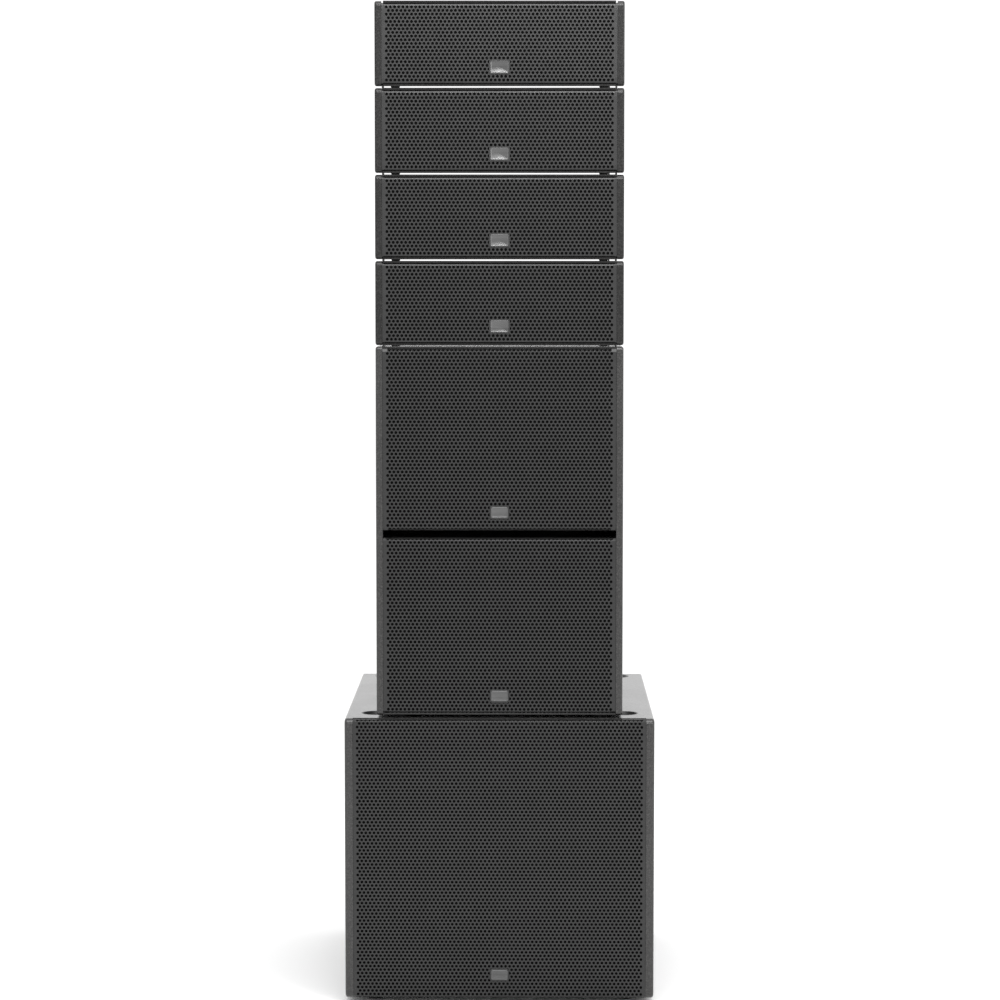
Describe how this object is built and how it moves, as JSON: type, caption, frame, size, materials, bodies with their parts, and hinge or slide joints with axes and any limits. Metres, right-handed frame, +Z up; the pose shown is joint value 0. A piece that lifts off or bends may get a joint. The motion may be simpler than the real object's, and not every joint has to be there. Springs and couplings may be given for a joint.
{
  "type": "line array speaker",
  "caption": "Ground-stacked line array: hinged line modules with perforated grilles on a tall bass column and a wide subwoofer with stacking cups.",
  "frame": {"origin": "on the floor under the middle of the stack's outline", "axes": "+Z up, -Y out of the grilles, +X to the right when looking along +Y at the fronts"},
  "size_m": [0.602, 0.64, 1.9416],
  "materials": {
    "cabinet_paint": "textured dark grey paint over birch plywood",
    "box_paint": "matt black paint over plywood",
    "baffle_board": "matt black paint",
    "cheek_paint": "textured dark grey paint",
    "grille_steel": "satin dark grey powder coat",
    "driver_frame": "matt black cast",
    "cone_paper": "matt black pulp",
    "horn_plastic": "matt black moulded",
    "rigging_steel": "black powder coat",
    "bolt_steel": "blackened steel",
    "rubber": "matt",
    "panel_aluminium": "black anodised",
    "chassis_steel": "zinc plated",
    "socket_plastic": "black moulded",
    "knob_plastic": "soft black",
    "switch_plastic": "black moulded",
    "moulded_plastic": "black moulded"
  },
  "bodies": {
    "stack_base": {"sub_cabinet": "cabinet_paint", "sub_baffle": "baffle_board", "sub_grille": "grille_steel", "sub_driver": "driver_frame", "sub_amp_panel": "panel_aluminium", "sub_amp_chassis": "chassis_steel", "sub_sockets": "socket_plastic", "handles": "moulded_plastic", "sub_feet": "rubber", "stacking_cups": "moulded_plastic", "bass_cabinet": "cabinet_paint", "bass_baffle": "baffle_board", "bass_grille_upper": "grille_steel", "bass_grille_lower": "grille_steel", "bass_drivers": "driver_frame", "bass_rear_panel": "panel_aluminium", "bass_links": "rigging_steel", "bass_feet": "rubber"},
    "sub_cone": {"sub_cone": "cone_paper"},
    "sub_level_knob": {"sub_level_knob": "knob_plastic"},
    "sub_power_switch": {"sub_power_switch": "switch_plastic"},
    "bass_cone_lower": {"bass_cone_lower": "cone_paper"},
    "bass_cone_upper": {"bass_cone_upper": "cone_paper"},
    "module_4": {"module_4_cabinet": "box_paint", "module_4_cheeks": "cheek_paint", "module_4_grille": "grille_steel", "module_4_woofers": "driver_frame", "module_4_horn": "horn_plastic", "module_4_links": "rigging_steel", "module_4_bolts": "bolt_steel", "module_4_bumpers": "rubber"},
    "module_4_cones": {"module_4_cones": "cone_paper"},
    "module_3": {"module_3_cabinet": "box_paint", "module_3_cheeks": "cheek_paint", "module_3_grille": "grille_steel", "module_3_woofers": "driver_frame", "module_3_horn": "horn_plastic", "module_3_links": "rigging_steel", "module_3_bolts": "bolt_steel", "module_3_bumpers": "rubber"},
    "module_3_cones": {"module_3_cones": "cone_paper"},
    "module_2": {"module_2_cabinet": "box_paint", "module_2_cheeks": "cheek_paint", "module_2_grille": "grille_steel", "module_2_woofers": "driver_frame", "module_2_horn": "horn_plastic", "module_2_links": "rigging_steel", "module_2_bolts": "bolt_steel", "module_2_bumpers": "rubber"},
    "module_2_cones": {"module_2_cones": "cone_paper"},
    "module_1": {"module_1_cabinet": "box_paint", "module_1_cheeks": "cheek_paint", "module_1_grille": "grille_steel", "module_1_woofers": "driver_frame", "module_1_horn": "horn_plastic", "module_1_bolts": "bolt_steel", "module_1_bumpers": "rubber"},
    "module_1_cones": {"module_1_cones": "cone_paper"},
    "module_1_links": {"module_1_links": "rigging_steel"},
    "module_1_bars": {"module_1_bars": "rigging_steel"}
  },
  "joints": [
    {"name": "sub_cone_travel", "type": "slide", "parent": "stack_base", "child": "sub_cone", "axis": [0, -1, 0], "range_m": [-0.008, 0.008], "stiffness_N_per_m": 4000},
    {"name": "bass_cone_lower_travel", "type": "slide", "parent": "stack_base", "child": "bass_cone_lower", "axis": [0, -1, 0], "range_m": [-0.006, 0.006], "stiffness_N_per_m": 3000},
    {"name": "bass_cone_upper_travel", "type": "slide", "parent": "stack_base", "child": "bass_cone_upper", "axis": [0, -1, 0], "range_m": [-0.006, 0.006], "stiffness_N_per_m": 3000},
    {"name": "level_knob_turn", "type": "hinge", "parent": "stack_base", "child": "sub_level_knob", "pos_m": [0.06, 0.309, 0.3855], "axis": [0, -1, 0], "range_deg": [-150, 150]},
    {"name": "power_switch_rock", "type": "hinge", "parent": "stack_base", "child": "sub_power_switch", "pos_m": [0.06, 0.307, 0.1805], "axis": [1, 0, 0], "range_deg": [0, 16]},
    {"name": "module_4_splay", "type": "hinge", "parent": "stack_base", "child": "module_4", "pos_m": [0, -0.276, 1.299], "axis": [-1, 0, 0], "range_deg": [0, 5]},
    {"name": "module_4_cone_travel", "type": "slide", "parent": "module_4", "child": "module_4_cones", "axis": [0, -1, 0], "range_m": [-0.003, 0.003], "stiffness_N_per_m": 1500},
    {"name": "module_3_splay", "type": "hinge", "parent": "module_4", "child": "module_3", "pos_m": [0, -0.276, 1.464], "axis": [-1, 0, 0], "range_deg": [0, 10]},
    {"name": "module_3_cone_travel", "type": "slide", "parent": "module_3", "child": "module_3_cones", "axis": [0, -1, 0], "range_m": [-0.003, 0.003], "stiffness_N_per_m": 1500},
    {"name": "module_2_splay", "type": "hinge", "parent": "module_3", "child": "module_2", "pos_m": [0, -0.276, 1.629], "axis": [-1, 0, 0], "range_deg": [0, 10]},
    {"name": "module_2_cone_travel", "type": "slide", "parent": "module_2", "child": "module_2_cones", "axis": [0, -1, 0], "range_m": [-0.003, 0.003], "stiffness_N_per_m": 1500},
    {"name": "module_1_splay", "type": "hinge", "parent": "module_2", "child": "module_1", "pos_m": [0, -0.276, 1.794], "axis": [-1, 0, 0], "range_deg": [0, 10]},
    {"name": "module_1_cone_travel", "type": "slide", "parent": "module_1", "child": "module_1_cones", "axis": [0, -1, 0], "range_m": [-0.003, 0.003], "stiffness_N_per_m": 1500},
    {"name": "top_links_raise", "type": "slide", "parent": "module_1", "child": "module_1_links", "axis": [0, 0, 1], "range_m": [0, 0.038]},
    {"name": "top_bars_swing", "type": "hinge", "parent": "module_1", "child": "module_1_bars", "pos_m": [0, -0.06, 1.896], "axis": [-1, 0, 0], "range_deg": [0, 90]}
  ],
  "couplings": [
    {"joint": "bass_cone_upper_travel", "follows": "bass_cone_lower_travel", "ratio": 1}
  ]
}
